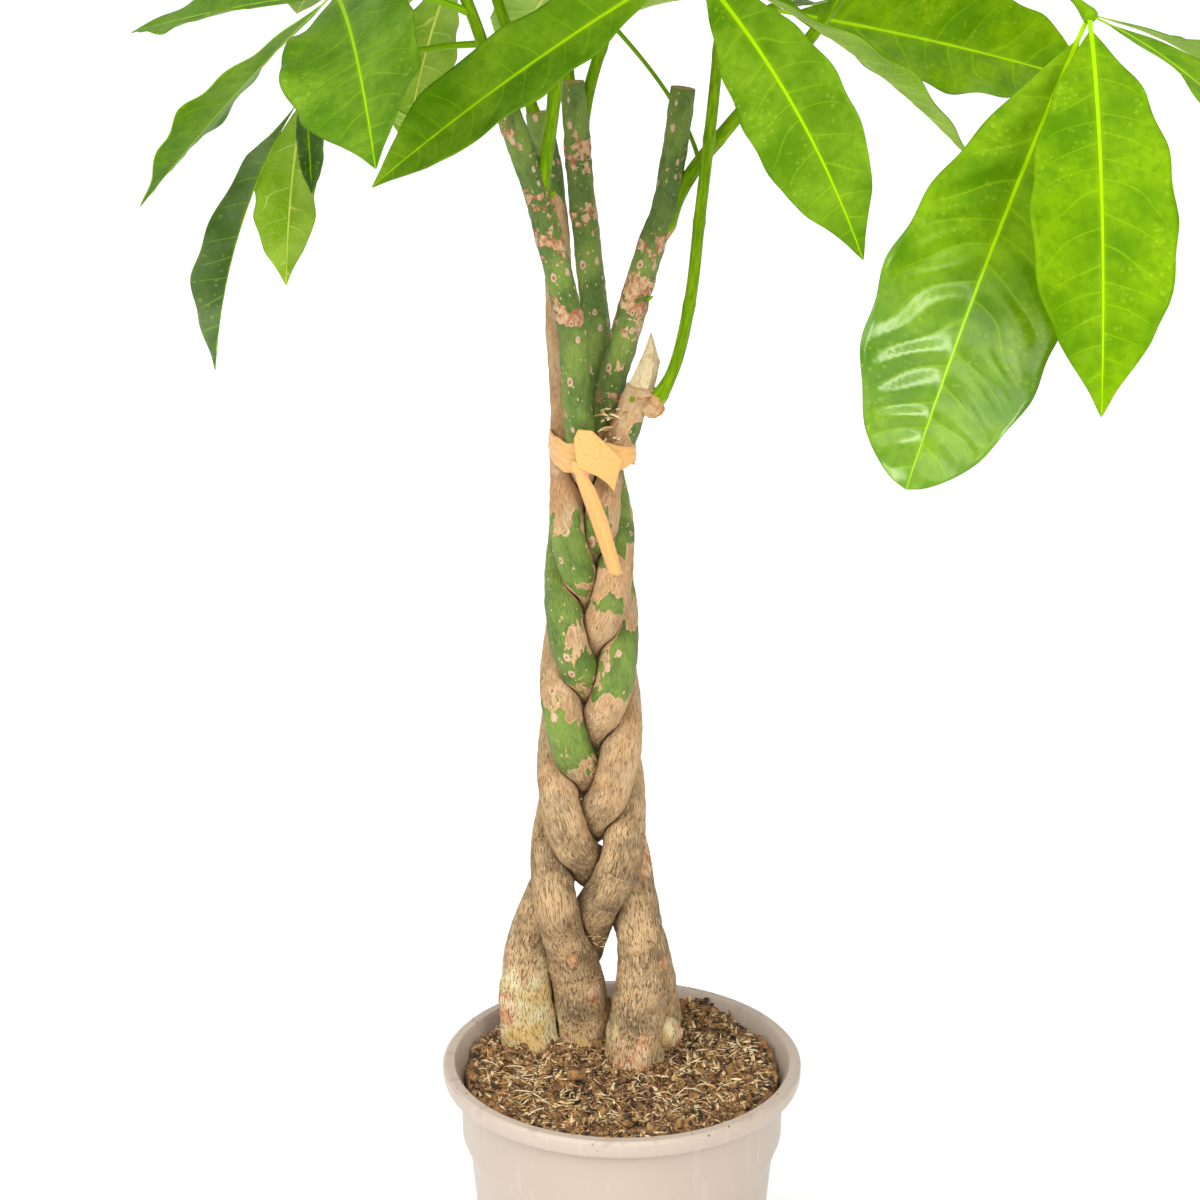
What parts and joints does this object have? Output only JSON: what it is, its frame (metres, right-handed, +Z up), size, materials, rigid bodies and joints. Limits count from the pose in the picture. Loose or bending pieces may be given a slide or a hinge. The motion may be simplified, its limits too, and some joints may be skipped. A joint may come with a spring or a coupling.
{
  "type": "potted money tree",
  "caption": "Potted money tree: braided trunks in a round flanged plastic pot of soil, tied with a flat ribbon, with fans of long pointed leaflets on green shoots.",
  "frame": {"origin": "centre of the pot's underside, on the surface that the pot stands on", "axes": "+Z up along the pot's axis; the side that the picture shows faces -Y, with +X to its right"},
  "size_m": [0.7816, 0.7041, 1.205],
  "materials": {
    "pot": "satin",
    "soil": "rough and matt: potting mix of bark, peat and fibres",
    "bark": "rough bark",
    "ribbon": "satin",
    "shoot": "smooth green stem",
    "leaf": "half-gloss leaf"
  },
  "bodies": {
    "root": {"pot": "pot", "soil": "soil", "trunk_back_left": "bark", "trunk_broken_top": "bark", "trunk_right": "bark", "trunk_middle": "bark", "trunk_front_left": "bark", "tie": "ribbon", "shoot_fork": "shoot", "shoot_left": "shoot", "shoot_right": "shoot", "shoot_knob": "shoot", "shoot_middle": "shoot", "shoot_middle_right": "shoot", "shoot_back_left": "shoot", "leaf_01": "leaf", "leaf_02": "leaf", "leaf_03": "leaf", "leaf_04": "leaf", "leaf_05": "leaf", "leaf_06": "leaf", "leaf_07": "leaf", "leaf_08": "leaf", "leaf_09": "leaf", "leaf_10": "leaf", "leaf_11": "leaf", "leaf_12": "leaf", "leaf_13": "leaf", "leaf_14": "leaf", "leaf_15": "leaf", "leaf_16": "leaf", "leaf_17": "leaf", "leaf_18": "leaf", "leaf_19": "leaf", "leaf_20": "leaf", "leaf_21": "leaf", "leaf_22": "leaf"}
  },
  "joints": []
}
